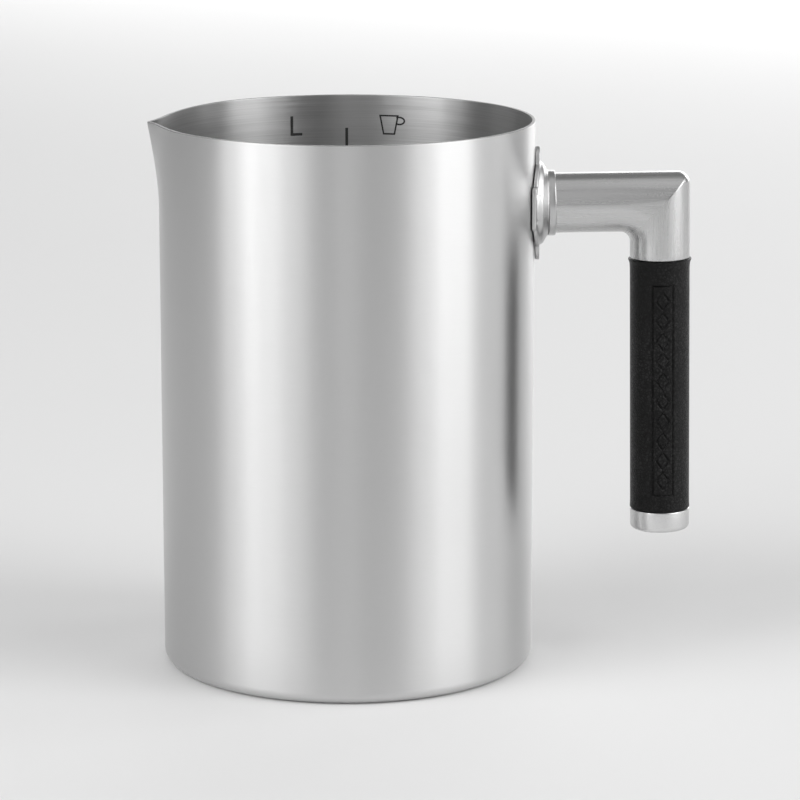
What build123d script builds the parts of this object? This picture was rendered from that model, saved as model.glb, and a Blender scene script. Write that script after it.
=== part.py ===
"""Measuring pitcher: a straight steel vessel with a pulled spout and a leather-gripped side handle.

Millimetres.  The origin is the centre of the base, on the surface that the pitcher stands on.
+Z is up, the handle is along +X and the spout is along -X.
"""

from build123d import *
from math import copysign, cos, degrees, exp, radians, sin, sqrt
import os

# Vessel, drawn from one sheet
vessel_radius = 55.0
vessel_height = 161.7
vessel_wall = 0.9
base_corner = 3.5  # outside radius between the base and the wall

# Spout, pulled out of the rim
spout_reach = 3.1  # how far the tip stands outside the round wall
spout_depth = 25.0  # how far below the rim the pull starts
spout_span = 50.0  # degrees to each side that the pull still moves the wall
spout_hollow = 0.35  # how far the wall beside the ridge is drawn in
ridge_width_rim = 4.5  # degrees, how quickly the ridge falls away to each side at the rim
ridge_width_foot = 9.0  # degrees, the same where the pull starts
ridge_round = 1.0  # degrees, the rounding along the ridge
lip_start = 0.94  # share of the pull's depth above which the lip stands upright
pull_growth = 1.5  # power by which the pull grows with height
rim_drop = 0.7  # how much lower the tip is than the rest of the rim
rim_drop_start = 32.0  # how far from the vessel's axis the rim starts to fall
spout_sections = 9
points_per_side = 14
point_crowding = 1.8  # power by which the outline's points crowd towards the ridge

# Handle tubes
arm_drop = 24.9  # from the rim down to the arm's axis, where it meets the neck
handle_rake = 0.8  # degrees that the arm rises as it leaves the vessel
finger_gap = 28.0  # from the vessel's wall to the leg
tube_radius = 8.8
tube_wall = 1.5
inner_corner = 3.0  # fillet in the angle between arm and leg
bend_step = 0.02  # the fillet is this much slimmer than the tubes that it runs into
outer_corner = 3.2  # rounding on the outside of the elbow
elbow_drop = 16.6  # from the arm's axis to the elbow's lower end
collar_thickness = 0.75
collar_length = 2.2
collar_round = 0.35

# Saddle plate, pressed from sheet and projection-welded to the wall
weld_gap = 0.25  # what the weld projections hold open
plate_thickness = 1.2
plate_margin = 0.4  # of round plate outside the neck's foot
lobe_overhang = 0.4  # of each side lobe past the round plate
lobe_half_height = 6.5
lobe_corner = 1.6
tongue_root_half_width = 6.6
tongue_tip_radius = 4.4
tongue_overhang = 4.2  # of each tongue past the neck's foot
projection_radius = 0.7
projection_inset = 1.5  # from a lobe's end to the middle of its weld projections
projection_rise = 3.9  # above and below the arm's axis

# Neck, drawn out of the plate to meet the collar
neck_stand = 3.8  # from the vessel's wall to the neck's face
neck_step = 0.3  # how far the shoulder stands outside the plate
neck_shoulder_rise = 0.8
neck_slope_rise = 1.9
neck_shoulder_spread = 2.1  # how much wider the shoulder is than the neck's face
neck_foot_spread = 3.0  # how much wider the foot is than the neck's face

# Spigot that joins the neck to the arm
spigot_head_thickness = 2.2
spigot_head_ledge = 0.9  # how much wider the head is than the tube's bore
spigot_reach = 12.0  # past the neck's face, inside the arm
spigot_bore = 2.0
spigot_bevel = 0.5

# Grip
leather_thickness = 1.8
leather_length = 75.3
leather_gap_top = 0.3  # the dark line between elbow and leather
leather_gap_foot = 0.15
core_wall = 1.5
insert_height = 11.0  # inside the elbow
socket_depth = 8.0  # how far each plug reaches into the core tube
seam_width = 0.5
seam_channel = 1.0  # depth of the flat that the stitches lie in
stitch_radius = 0.35
stitch_length = 4.6
stitch_pitch = 4.5
stitch_margin = 4.0  # least distance from the leather's end to a stitch

# End cap and the M5 screw that pulls the grip together
cap_web = 1.3  # of metal between the washer and the core tube
cap_round = 1.5
screw_radius = 2.5
screw_head_radius = 4.25
screw_head_height = 3.5
screw_hex_across = 4.0
screw_hex_depth = 2.3
screw_head_recess = 0.4  # how far the head lies inside the cap
screw_tip_bevel = 0.5
thread_reach = 6.8  # of screw above the elbow's lower end
washer_radius = 4.2
washer_thickness = 1.0
washer_split = 0.8

# Clearances
slide_clearance = 0.05  # between a plug and the tube around it, on the radius
thread_clearance = 0.02  # between the screw and its thread, on the radius
hole_clearance = 0.25  # between the screw and what it only passes through, on the radius
leather_clearance = 0.1  # between the leather and its core, on the radius
seat_clearance = 0.03  # where a curved or round piece lies against another

# Places that follow from the sizes above, first across the vessel, then down the leg
spout_start = vessel_height - spout_depth
plate_inside = vessel_radius + weld_gap
plate_outside = plate_inside + plate_thickness
neck_face = vessel_radius + neck_stand
arm_height = vessel_height - arm_drop
arm_length = finger_gap + tube_radius - neck_stand
tube_bore = tube_radius - tube_wall
collar_bore = tube_radius + slide_clearance
collar_radius = collar_bore + collar_thickness
neck_shoulder_radius = collar_radius + neck_shoulder_spread
neck_foot_radius = collar_radius + neck_foot_spread
plate_disc_radius = neck_foot_radius + plate_margin
lobe_half_width = plate_disc_radius + lobe_overhang
tongue_reach = neck_foot_radius + tongue_overhang
projection_spread = lobe_half_width - projection_inset
spigot_head_radius = tube_bore + spigot_head_ledge
core_radius = tube_radius - leather_thickness - leather_clearance
core_bore = core_radius - core_wall
plug_radius = core_bore - slide_clearance
leather_top = elbow_drop + leather_gap_top
leather_foot = leather_top + leather_length
cap_top = leather_foot + leather_gap_foot
washer_seat = cap_top + cap_web
head_seat = washer_seat + washer_thickness
head_foot = head_seat + screw_head_height
cap_foot = head_foot + screw_head_recess
screw_tip = elbow_drop - thread_reach
stitch_flat = tube_radius - seam_channel

rake = radians(handle_rake)
arm_direction = Vector(cos(rake), 0, sin(rake))
leg_direction = Vector(sin(rake), 0, -cos(rake))
neck_centre = Vector(neck_face, 0, arm_height)
elbow_corner = neck_centre + arm_direction * arm_length

# Upright planes through the handle: local x along the neck or the arm, local y up
neck_section = Plane(origin=(0, 0, arm_height), x_dir=(1, 0, 0), z_dir=(0, -1, 0))
neck_axis = Axis((0, 0, arm_height), (1, 0, 0))
elbow_section = Plane(origin=elbow_corner, x_dir=arm_direction, z_dir=(0, -1, 0))

os.makedirs("parts", exist_ok=True)


def across_arm(distance):
    """Plane square to the arm, this far out from the neck's face."""
    return Plane(origin=neck_centre + arm_direction * distance, x_dir=(0, 1, 0), z_dir=arm_direction)


def across_leg(distance):
    """Plane square to the leg, this far below the arm's axis, facing down the leg."""
    return Plane(origin=elbow_corner + leg_direction * distance, x_dir=(0, 1, 0), z_dir=leg_direction)


def facing_wall(distance):
    """Plane square to the neck, this far from the vessel's axis, with local y up."""
    return Plane(origin=(distance, 0, arm_height), x_dir=(0, 1, 0), z_dir=(1, 0, 0))


def pull_at(height):
    """Share of the full pull that the wall has at this height."""
    climb = (height - spout_start) / spout_depth
    return min(1.0, (climb / lip_start) ** pull_growth)


def pulled_offset(angle, pull):
    """How far the wall stands outside the round one, at this many degrees from the spout."""
    width = ridge_width_foot + (ridge_width_rim - ridge_width_foot) * pull
    fall = (sqrt(angle**2 + ridge_round**2) - ridge_round) / width
    ridge = exp(-fall) * cos(radians(90 * angle / spout_span)) ** 2
    hollow = sin(radians(180 * angle / spout_span)) ** 2
    return pull * (spout_reach * ridge - spout_hollow * hollow)


def wall_outline(height, radius):
    """Plan outline of the vessel at a height: a round arc closed by the pulled stretch."""
    pull = pull_at(height)
    points = []
    for step in range(-points_per_side, points_per_side + 1):
        angle = spout_span * (abs(step) / points_per_side) ** point_crowding
        distance = radius + pulled_offset(angle, pull)
        side = copysign(sin(radians(angle)), step)
        points.append((-distance * cos(radians(angle)), distance * side))
    with BuildSketch(Plane.XY.offset(height)) as outline:
        with BuildLine():
            if pull > 0:
                slope = radians(spout_span)
                Spline(*points, tangents=[(-sin(slope), cos(slope)), (sin(slope), cos(slope))])
            else:
                ThreePointArc(points[0], points[points_per_side], points[-1])
            ThreePointArc(points[-1], (radius, 0), points[0])
        make_face()
    return outline.sketch


def wall_outlines(radius):
    """Outlines from where the pull starts up to the rim."""
    step = spout_depth / (spout_sections - 1)
    return [wall_outline(spout_start + step * index, radius) for index in range(spout_sections)]


outer_outlines = wall_outlines(vessel_radius)
inner_outlines = wall_outlines(vessel_radius - vessel_wall)

with BuildPart() as vessel:
    with BuildSketch(Plane.XZ):
        with BuildLine():
            Polyline(
                (0, 0),
                (vessel_radius, 0),
                (vessel_radius, spout_start),
                (vessel_radius - vessel_wall, spout_start),
                (vessel_radius - vessel_wall, vessel_wall),
                (0, vessel_wall),
                close=True,
            )
        make_face()
        outside_corner = vertices().sort_by_distance((vessel_radius, 0))[0]
        fillet(outside_corner, base_corner)
        inside_corner = vertices().sort_by_distance((vessel_radius - vessel_wall, vessel_wall))[0]
        fillet(inside_corner, base_corner - vessel_wall)
    revolve(axis=Axis.Z)
    loft(sections=outer_outlines)
    loft(sections=inner_outlines, mode=Mode.SUBTRACT)

    # The rim falls away in a long gentle arc towards the spout's tip
    fall_length = vessel_radius + spout_reach - rim_drop_start
    fall_radius = fall_length**2 / (2 * rim_drop)
    trim_edge = vessel_radius + 2 * spout_reach
    with BuildSketch(Plane.XZ):
        with BuildLine():
            fall = JernArc(
                start=(-rim_drop_start, vessel_height),
                tangent=(-1, 0),
                radius=fall_radius,
                arc_size=2 * degrees(fall_length / fall_radius),
            )
            Polyline(fall @ 1, (-2 * trim_edge, vessel_height), (-rim_drop_start, vessel_height))
        make_face()
    extrude(amount=trim_edge, both=True, mode=Mode.SUBTRACT)
vessel.part.label = "vessel"
export_step(vessel.part, "parts/vessel.step")


with BuildPart() as weld_projections:
    with BuildSketch(facing_wall(0)):
        with GridLocations(2 * projection_spread, 2 * projection_rise, 2, 2):
            Circle(projection_radius)
    extrude(amount=plate_outside)
    with BuildSketch(Plane.XY):
        Circle(plate_inside + plate_thickness / 2)
        Circle(vessel_radius + seat_clearance, mode=Mode.SUBTRACT)
    extrude(amount=vessel_height, mode=Mode.INTERSECT)

with BuildSketch() as tongues:
    with GridLocations(0, 2 * (tongue_reach - tongue_tip_radius), 1, 2):
        Circle(tongue_tip_radius)
    Rectangle(2 * tongue_root_half_width, 2 * lobe_half_height)
    make_hull()

with BuildPart() as saddle_plate:
    with BuildSketch(facing_wall(0)):
        Circle(plate_disc_radius)
        RectangleRounded(2 * lobe_half_width, 2 * lobe_half_height, lobe_corner)
        add(tongues.sketch)
    extrude(amount=plate_outside + plate_thickness)
    with BuildSketch(Plane.XY):
        Circle(plate_outside)
    extrude(amount=vessel_height, mode=Mode.INTERSECT)

    # Neck, turned about its own axis and hollow behind
    shoulder_edge = plate_outside + neck_step
    ceiling = neck_face - plate_thickness
    past_face = neck_face + plate_thickness
    with BuildSketch(neck_section):
        with BuildLine():
            Polyline(
                (0, 0),
                (0, neck_foot_radius),
                (shoulder_edge, neck_foot_radius),
                (shoulder_edge + neck_shoulder_rise, neck_shoulder_radius),
                (shoulder_edge + neck_slope_rise, collar_radius),
                (past_face, collar_radius),
                (past_face, 0),
                close=True,
            )
        make_face()
    revolve(axis=neck_axis)
    with BuildSketch(Plane.XY):
        Circle(plate_inside)
    extrude(amount=vessel_height, mode=Mode.SUBTRACT)
    with BuildSketch(neck_section):
        with BuildLine():
            Polyline(
                (0, 0),
                (0, neck_foot_radius - plate_thickness),
                (shoulder_edge - plate_thickness, neck_foot_radius - plate_thickness),
                (ceiling, collar_radius - plate_thickness / 2),
                (ceiling, 0),
                close=True,
            )
        make_face()
    revolve(axis=neck_axis, mode=Mode.SUBTRACT)
    split(bisect_by=across_arm(0), keep=Keep.BOTTOM)
    with BuildSketch(across_arm(0)):
        Circle(tube_bore)
    extrude(amount=2 * plate_thickness, both=True, mode=Mode.SUBTRACT)
    with BuildSketch(across_arm(-plate_thickness)):
        Circle(spigot_head_radius + slide_clearance)
    extrude(amount=-neck_stand, mode=Mode.SUBTRACT)
    add(weld_projections.part)
saddle_plate.part.label = "saddle_plate"
export_step(saddle_plate.part, "parts/saddle_plate.step")

with BuildPart() as arm_spigot:
    with BuildSketch(across_arm(-plate_thickness - seat_clearance)):
        Circle(spigot_head_radius)
    extrude(amount=-spigot_head_thickness)
    with BuildSketch(across_arm(spigot_reach)):
        Circle(tube_bore - slide_clearance)
    extrude(amount=-spigot_reach - 2 * plate_thickness)
    chamfer(arm_spigot.edges().filter_by(GeomType.CIRCLE).sort_by(Axis.X)[-1], spigot_bevel)
    with BuildSketch(across_arm(spigot_reach)):
        Circle(spigot_bore)
    extrude(amount=-spigot_reach - neck_stand, mode=Mode.SUBTRACT)
arm_spigot.part.label = "arm_spigot"
export_step(arm_spigot.part, "parts/arm_spigot.step")

with BuildPart() as collar_ring:
    with BuildSketch(across_arm(0)):
        Circle(collar_radius)
        Circle(collar_bore, mode=Mode.SUBTRACT)
    extrude(amount=collar_length)
    rims = collar_ring.edges().filter_by(GeomType.CIRCLE).group_by(SortBy.RADIUS)[-1]
    fillet(rims, collar_round)
collar_ring.part.label = "collar_ring"
export_step(collar_ring.part, "parts/collar_ring.step")

# Centreline of arm and leg: square for the mitre, and round for the inside of the angle
bend_radius = tube_radius + inner_corner
mitre_route = Polyline(neck_centre, elbow_corner, elbow_corner + leg_direction * elbow_drop)
bend_start = elbow_corner - arm_direction * bend_radius
bend_end = elbow_corner + leg_direction * bend_radius
bend_route = TangentArc(bend_start, bend_end, tangent=arm_direction)

with BuildPart() as elbow_arm:
    with BuildSketch(across_arm(0)):
        Circle(tube_radius)
    sweep(path=mitre_route, transition=Transition.RIGHT)
    with BuildSketch(across_arm(arm_length - bend_radius)):
        Circle(tube_radius - bend_step)
    sweep(path=bend_route)
    with BuildSketch(elbow_section):
        with BuildLine():
            Polyline(
                (tube_radius - outer_corner, tube_radius),
                (tube_radius - outer_corner, 2 * tube_radius),
                (2 * tube_radius, 2 * tube_radius),
                (2 * tube_radius, tube_radius - outer_corner),
                (tube_radius, tube_radius - outer_corner),
            )
            RadiusArc(
                (tube_radius, tube_radius - outer_corner),
                (tube_radius - outer_corner, tube_radius),
                -outer_corner,
            )
        make_face()
    extrude(amount=tube_radius, both=True, mode=Mode.SUBTRACT)
    with BuildSketch(across_arm(0)):
        Circle(tube_bore)
    sweep(path=mitre_route, transition=Transition.RIGHT, mode=Mode.SUBTRACT)
elbow_arm.part.label = "elbow_arm"
export_step(elbow_arm.part, "parts/elbow_arm.step")

with BuildPart() as elbow_insert:
    with BuildSketch(across_leg(elbow_drop)):
        Circle(tube_bore - slide_clearance)
    extrude(amount=-insert_height)
    with BuildSketch(across_leg(elbow_drop)):
        Circle(plug_radius)
    extrude(amount=socket_depth)
    with BuildSketch(across_leg(elbow_drop)):
        Circle(screw_radius + thread_clearance)
    extrude(amount=insert_height, both=True, mode=Mode.SUBTRACT)
elbow_insert.part.label = "elbow_insert"
export_step(elbow_insert.part, "parts/elbow_insert.step")

with BuildPart() as grip_core:
    with BuildSketch(across_leg(elbow_drop)):
        Circle(core_radius)
        Circle(core_bore, mode=Mode.SUBTRACT)
    extrude(amount=cap_top - elbow_drop)
grip_core.part.label = "grip_core"
export_step(grip_core.part, "parts/grip_core.step")

# Closed along the far side of the leg from the palm's view, where the flat holds the stitches
with BuildPart() as leather_sleeve:
    with BuildSketch(across_leg(leather_top)):
        Circle(tube_radius)
        Circle(core_radius + leather_clearance, mode=Mode.SUBTRACT)
        with Locations((stitch_flat + tube_radius, 0)):
            Rectangle(2 * tube_radius, 2 * tube_radius, mode=Mode.SUBTRACT)
        with Locations((tube_radius, 0)):
            Rectangle(2 * leather_thickness + 2 * seam_channel, seam_width, mode=Mode.SUBTRACT)
    extrude(amount=leather_length)
leather_sleeve.part.label = "leather_sleeve"
export_step(leather_sleeve.part, "parts/leather_sleeve.step")

stitch_run = leather_length - 2 * stitch_margin
stitch_count = int(stitch_run / stitch_pitch) + 1
first_stitch = leather_top + (leather_length - stitch_pitch * (stitch_count - 1)) / 2
stitch_height = Vector(0, stitch_flat + stitch_radius + seat_clearance, 0)
stitch_planes = [
    Plane(
        origin=elbow_corner + leg_direction * (first_stitch + stitch_pitch * index) + stitch_height,
        x_dir=(0, 1, 0),
        z_dir=arm_direction,
    )
    for index in range(stitch_count)
]
with BuildPart() as seam_stitching:
    with BuildSketch(*stitch_planes):
        Circle(stitch_radius)
    extrude(amount=stitch_length / 2, both=True)
seam_stitching.part.label = "seam_stitching"
export_step(seam_stitching.part, "parts/seam_stitching.step")

with BuildPart() as end_cap:
    with BuildSketch(across_leg(cap_foot)):
        Circle(tube_radius)
    extrude(amount=cap_top - cap_foot)
    foot_edge = end_cap.edges().filter_by(GeomType.CIRCLE).sort_by(Axis.Z)[0]
    fillet(foot_edge, cap_round)
    with BuildSketch(across_leg(cap_top)):
        Circle(plug_radius)
    extrude(amount=-socket_depth)
    with BuildSketch(across_leg(washer_seat)):
        Circle(screw_head_radius + hole_clearance)
    extrude(amount=cap_foot - washer_seat, mode=Mode.SUBTRACT)
    with BuildSketch(across_leg(washer_seat)):
        Circle(screw_radius + hole_clearance)
    extrude(amount=cap_top - washer_seat - socket_depth, mode=Mode.SUBTRACT)
end_cap.part.label = "end_cap"
export_step(end_cap.part, "parts/end_cap.step")

with BuildPart() as spring_washer:
    with BuildSketch(across_leg(washer_seat)):
        Circle(washer_radius)
        Circle(screw_radius + hole_clearance / 2, mode=Mode.SUBTRACT)
        with Locations((washer_radius, 0)):
            Rectangle(2 * washer_radius - screw_radius, washer_split, mode=Mode.SUBTRACT)
    extrude(amount=washer_thickness)
spring_washer.part.label = "spring_washer"
export_step(spring_washer.part, "parts/spring_washer.step")

with BuildPart() as tie_screw:
    with BuildSketch(across_leg(head_seat)):
        Circle(screw_head_radius)
    extrude(amount=screw_head_height)
    with BuildSketch(across_leg(head_seat)):
        Circle(screw_radius)
    extrude(amount=screw_tip - head_seat)
    tip_edge = tie_screw.edges().filter_by(GeomType.CIRCLE).sort_by(Axis.Z)[-1]
    chamfer(tip_edge, screw_tip_bevel)
    with BuildSketch(across_leg(head_foot)):
        RegularPolygon(screw_hex_across / 2, 6, major_radius=False)
    extrude(amount=-screw_hex_depth, mode=Mode.SUBTRACT)
tie_screw.part.label = "tie_screw"
export_step(tie_screw.part, "parts/tie_screw.step")
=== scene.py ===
"""Looks of the measuring pitcher: brushed steel vessel, pressed saddle, tube handle and leather grip.

Metres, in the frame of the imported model: the vessel stands on z = 0 around the origin, the spout points
to -X and the handle to +X.
"""

from math import acos, atan2, cos, exp, hypot, pi, radians, sin, sqrt, tan

import bmesh
import bpy
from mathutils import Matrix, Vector


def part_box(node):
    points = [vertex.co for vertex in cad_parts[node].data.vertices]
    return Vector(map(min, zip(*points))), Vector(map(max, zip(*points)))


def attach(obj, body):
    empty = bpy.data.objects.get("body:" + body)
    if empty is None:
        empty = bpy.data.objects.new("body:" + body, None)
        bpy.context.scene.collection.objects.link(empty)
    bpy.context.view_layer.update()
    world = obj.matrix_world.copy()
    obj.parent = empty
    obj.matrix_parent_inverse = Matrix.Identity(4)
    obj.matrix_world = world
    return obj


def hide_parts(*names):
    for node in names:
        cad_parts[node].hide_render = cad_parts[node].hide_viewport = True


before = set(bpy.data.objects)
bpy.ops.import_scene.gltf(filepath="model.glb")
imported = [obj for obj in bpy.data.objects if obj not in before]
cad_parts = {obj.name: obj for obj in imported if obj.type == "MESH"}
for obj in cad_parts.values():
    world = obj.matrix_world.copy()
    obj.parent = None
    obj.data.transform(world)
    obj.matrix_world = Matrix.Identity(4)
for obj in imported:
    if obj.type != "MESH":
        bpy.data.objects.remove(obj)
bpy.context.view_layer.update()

MM = 0.001

# ------------------------ sizes, from the frame where it has them

vessel_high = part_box("vessel")[1]
vessel_radius = vessel_high.y
vessel_height = vessel_high.z
vessel_wall = 0.9 * MM
base_corner = 3.5 * MM
edge_break = 0.16 * MM  # rounding along the trimmed rim

spout_reach = 3.1 * MM
spout_depth = 25 * MM
spout_span = 50.0  # degrees to each side
spout_hollow = 0.35 * MM
ridge_width_rim = 4.5  # degrees
ridge_width_foot = 9.0  # degrees
ridge_round = 1.0  # degrees
lip_start = 0.94  # share of the spout's depth where the pull is complete
pull_growth = 1.5
rim_drop = 0.7 * MM
rim_drop_start = 32 * MM

handle_rake = radians(0.8)
rake_cos, rake_sin = cos(handle_rake), sin(handle_rake)
arm_direction = Vector((rake_cos, 0, rake_sin))
leg_direction = Vector((rake_sin, 0, -rake_cos))
across_handle = Vector((0, 1, 0))

collar_low, collar_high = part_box("collar_ring")
elbow_low, elbow_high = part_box("elbow_arm")
tube_radius = elbow_high.y
collar_radius = collar_high.y
collar_length = 2.2 * MM
tube_wall = 1.5 * MM
neck_face = collar_low.x + collar_radius * rake_sin
arm_height = (collar_low.z + collar_high.z - collar_length * rake_sin) / 2
neck_centre = Vector((neck_face, 0, arm_height))
outer_span = elbow_high.x - tube_radius * rake_cos - neck_face
elbow_drop = rake_cos * (
    arm_height - elbow_low.z - tube_radius * rake_sin + outer_span * tan(handle_rake)
)
arm_length = (outer_span - elbow_drop * rake_sin) / rake_cos
elbow_corner = neck_centre + arm_direction * arm_length
inner_corner = 3.0 * MM
outer_corner = 3.6 * MM
corner_start = 0.7  # how far out round the tube the corner starts to round over

plate_inside = vessel_radius + 0.25 * MM
plate_thickness = 1.2 * MM
plate_outside = plate_inside + plate_thickness
plate_edge_break = 0.25 * MM
turned_steps = 128  # places around a turned ring


def down_the_leg(node, radius):
    """Where a round node of this radius starts and ends, measured down the leg from the arm's axis."""
    low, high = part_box(node)
    top = (elbow_corner.z + radius * rake_sin - high.z) / rake_cos
    foot = (elbow_corner.z - radius * rake_sin - low.z) / rake_cos
    return top, foot


leather_top, leather_foot = down_the_leg("leather_sleeve", tube_radius)
cap_round = 1.5 * MM
cap_foot = down_the_leg("end_cap", tube_radius - cap_round)[1]
cap_top = leather_foot + 0.15 * MM
core_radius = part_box("grip_core")[1].y


# ------------------------ mesh helpers


def softened(corners, steps=4):
    """Closed outline of (x, y, rounding) corners, each rounding drawn as an arc."""
    outline = []
    for index, (x, y, rounding) in enumerate(corners):
        here = Vector((x, y))
        if not rounding:
            outline.append(here)
            continue
        before = (Vector(corners[index - 1][:2]) - here).normalized()
        after = (Vector(corners[(index + 1) % len(corners)][:2]) - here).normalized()
        half = acos(before.dot(after)) / 2
        centre = here + (before + after).normalized() * (rounding / sin(half))
        first = here + before * (rounding / tan(half)) - centre
        last = here + after * (rounding / tan(half)) - centre
        sweep = atan2(first.x * last.y - first.y * last.x, first.dot(last))
        for step in range(steps + 1):
            turn = sweep * step / steps
            spoke = Vector((
                first.x * cos(turn) - first.y * sin(turn),
                first.x * sin(turn) + first.y * cos(turn),
            ))
            outline.append(centre + spoke)
    return outline


def skin(name, rings, loop=False, poles=(None, None), finishes=None, sharp=radians(40)):
    """Mesh stretched over rings of points.

    loop joins the last ring to the first, and poles close the ends.
    """
    count = len(rings[0])
    points = [point for ring in rings for point in ring]
    faces, slots = [], []
    finishes = finishes or [0] * len(rings)
    spans = [(index, index + 1) for index in range(len(rings) - 1)]
    if loop:
        spans.append((len(rings) - 1, 0))
    for lower, upper in spans:
        low, high = lower * count, upper * count
        for here in range(count):
            there = (here + 1) % count
            faces.append((low + here, low + there, high + there, high + here))
            slots.append(finishes[lower])
    for ring, pole in ((0, poles[0]), (len(rings) - 1, poles[1])):
        if pole is None:
            continue
        points.append(pole)
        for here in range(count):
            faces.append((ring * count + here, ring * count + (here + 1) % count, len(points) - 1))
            slots.append(finishes[ring])
    mesh = bpy.data.meshes.new(name)
    mesh.from_pydata(points, [], faces)
    mesh.polygons.foreach_set("material_index", slots)
    tidy_normals(mesh, sharp)
    return mesh


def quarter_round(radius, steps=4):
    """Points of a rounded edge as distances from its two faces, from (0, radius) to (radius, 0)."""
    turns = [pi / 2 * step / steps for step in range(steps + 1)]
    return [(radius * (1 - cos(turn)), radius * (1 - sin(turn))) for turn in turns]


def tidy_normals(mesh, sharp):
    """Faces outward, shaded smooth except across edges sharper than this."""
    work = bmesh.new()
    work.from_mesh(mesh)
    bmesh.ops.recalc_face_normals(work, faces=work.faces)
    work.to_mesh(mesh)
    work.free()
    mesh.polygons.foreach_set("use_smooth", [True] * len(mesh.polygons))
    mesh.set_sharp_from_angle(angle=sharp)


def place(mesh, finishes, nodes=()):
    """Puts a finished mesh on the pitcher, in the place of its CAD nodes."""
    piece = bpy.data.objects.new(mesh.name, mesh)
    bpy.context.scene.collection.objects.link(piece)
    for finish in finishes:
        mesh.materials.append(finish)
    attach(piece, "root")
    if nodes:
        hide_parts(*nodes)
    return piece


def joined(name, meshes):
    """One mesh from several."""
    work = bmesh.new()
    for mesh in meshes:
        work.from_mesh(mesh)
        bpy.data.meshes.remove(mesh)
    mesh = bpy.data.meshes.new(name)
    work.to_mesh(mesh)
    work.free()
    return mesh


def circle(steps):
    """Cosine and sine of even turns around a circle."""
    turns = [2 * pi * step / steps for step in range(steps)]
    return [(cos(turn), sin(turn)) for turn in turns]


def turned_rings(outline, origin, direction):
    """Rings of a piece turned about an axis, from its outline of (distance along, radius)."""
    side = across_handle.cross(direction)
    spokes = [side * lean + across_handle * rise for lean, rise in circle(turned_steps)]
    return [[origin + direction * along + spoke * radius for spoke in spokes] for along, radius in outline]


# ------------------------ shared effects, as node groups


def new_group(name, inputs, outputs):
    """Empty shader group with its sockets, given as (name, type, default)."""
    group = bpy.data.node_groups.new(name, "ShaderNodeTree")
    for label, kind, default in inputs:
        socket = group.interface.new_socket(label, in_out="INPUT", socket_type=kind)
        socket.default_value = default
    for label, kind in outputs:
        group.interface.new_socket(label, in_out="OUTPUT", socket_type=kind)
    return group, group.nodes.new("NodeGroupInput"), group.nodes.new("NodeGroupOutput")


class Wiring:
    """Shorthand for making and joining the nodes of one tree."""

    def __init__(self, tree):
        self.tree = tree

    def node(self, kind, **settings):
        made = self.tree.nodes.new("ShaderNode" + kind)
        for name, value in settings.items():
            setattr(made, name, value)
        return made

    def join(self, source, target):
        self.tree.links.new(source, target)

    def spot(self):
        return self.node("TexCoord").outputs["Object"]

    def effect(self, group, **settings):
        made = self.node("Group", node_tree=group)
        for label, value in settings.items():
            made.inputs[label.replace("_", " ")].default_value = value
        return made

    def math(self, operation, first, second=None, clamp=False):
        made = self.node("Math", operation=operation, use_clamp=clamp)
        for socket, value in zip(made.inputs, (first, second)):
            if isinstance(value, (int, float)):
                socket.default_value = value
            elif value is not None:
                self.join(value, socket)
        return made.outputs[0]

    def noise(self, vector, scale, detail=2.0, roughness=0.5):
        made = self.node("TexNoise")
        made.inputs["Scale"].default_value = scale
        made.inputs["Detail"].default_value = detail
        made.inputs["Roughness"].default_value = roughness
        self.join(vector, made.inputs["Vector"])
        return made.outputs["Fac"]

    def remap(self, value, low, high, to_low, to_high):
        made = self.node("MapRange")
        labels = ("From Min", "From Max", "To Min", "To Max")
        for label, number in zip(labels, (low, high, to_low, to_high)):
            made.inputs[label].default_value = number
        self.join(value, made.inputs["Value"])
        return made.outputs["Result"]


def brushing_group():
    """Hairlines of a belt-brushed round piece: they run around Z on a wall and in rings on a floor."""
    group, given, result = new_group(
        "brushing",
        [
            ("Hairs per mm", "NodeSocketFloat", 6.0),
            ("Hair Length mm", "NodeSocketFloat", 20.0),
        ],
        [("Hairlines", "NodeSocketFloat"), ("Cloud", "NodeSocketFloat")],
    )
    wire = Wiring(group)
    spot = wire.spot()
    parts = wire.node("SeparateXYZ")
    wire.join(spot, parts.inputs[0])
    x, y, z = parts.outputs
    radius = wire.math("SQRT", wire.math("ADD", wire.math("MULTIPLY", x, x), wire.math("MULTIPLY", y, y)))
    fine = wire.math("MULTIPLY", given.outputs["Hairs per mm"], 1000.0)
    coarse = wire.math("DIVIDE", 1000.0, given.outputs["Hair Length mm"])
    stretched = wire.node("CombineXYZ")
    wire.join(wire.math("MULTIPLY", x, coarse), stretched.inputs[0])
    wire.join(wire.math("MULTIPLY", y, coarse), stretched.inputs[1])
    wire.join(wire.math("MULTIPLY", wire.math("ADD", z, radius), fine), stretched.inputs[2])
    hairs = wire.noise(stretched.outputs[0], scale=1.0, detail=3.0, roughness=0.65)
    wire.join(hairs, result.inputs["Hairlines"])
    wire.join(wire.noise(spot, scale=28.0, detail=3.0), result.inputs["Cloud"])
    return group


def satin_group():
    """Fine even tooth of satin-finished tube, with a slow drift in its sheen."""
    group, given, result = new_group(
        "satin_tooth",
        [("Tooth per mm", "NodeSocketFloat", 5.0)],
        [("Tooth", "NodeSocketFloat"), ("Cloud", "NodeSocketFloat")],
    )
    wire = Wiring(group)
    spot = wire.spot()
    tooth = wire.noise(spot, scale=1.0, detail=2.0, roughness=0.6)
    wire.join(wire.math("MULTIPLY", given.outputs["Tooth per mm"], 1000.0), tooth.node.inputs["Scale"])
    wire.join(tooth, result.inputs["Tooth"])
    wire.join(wire.noise(spot, scale=90.0, detail=2.0), result.inputs["Cloud"])
    return group


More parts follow.
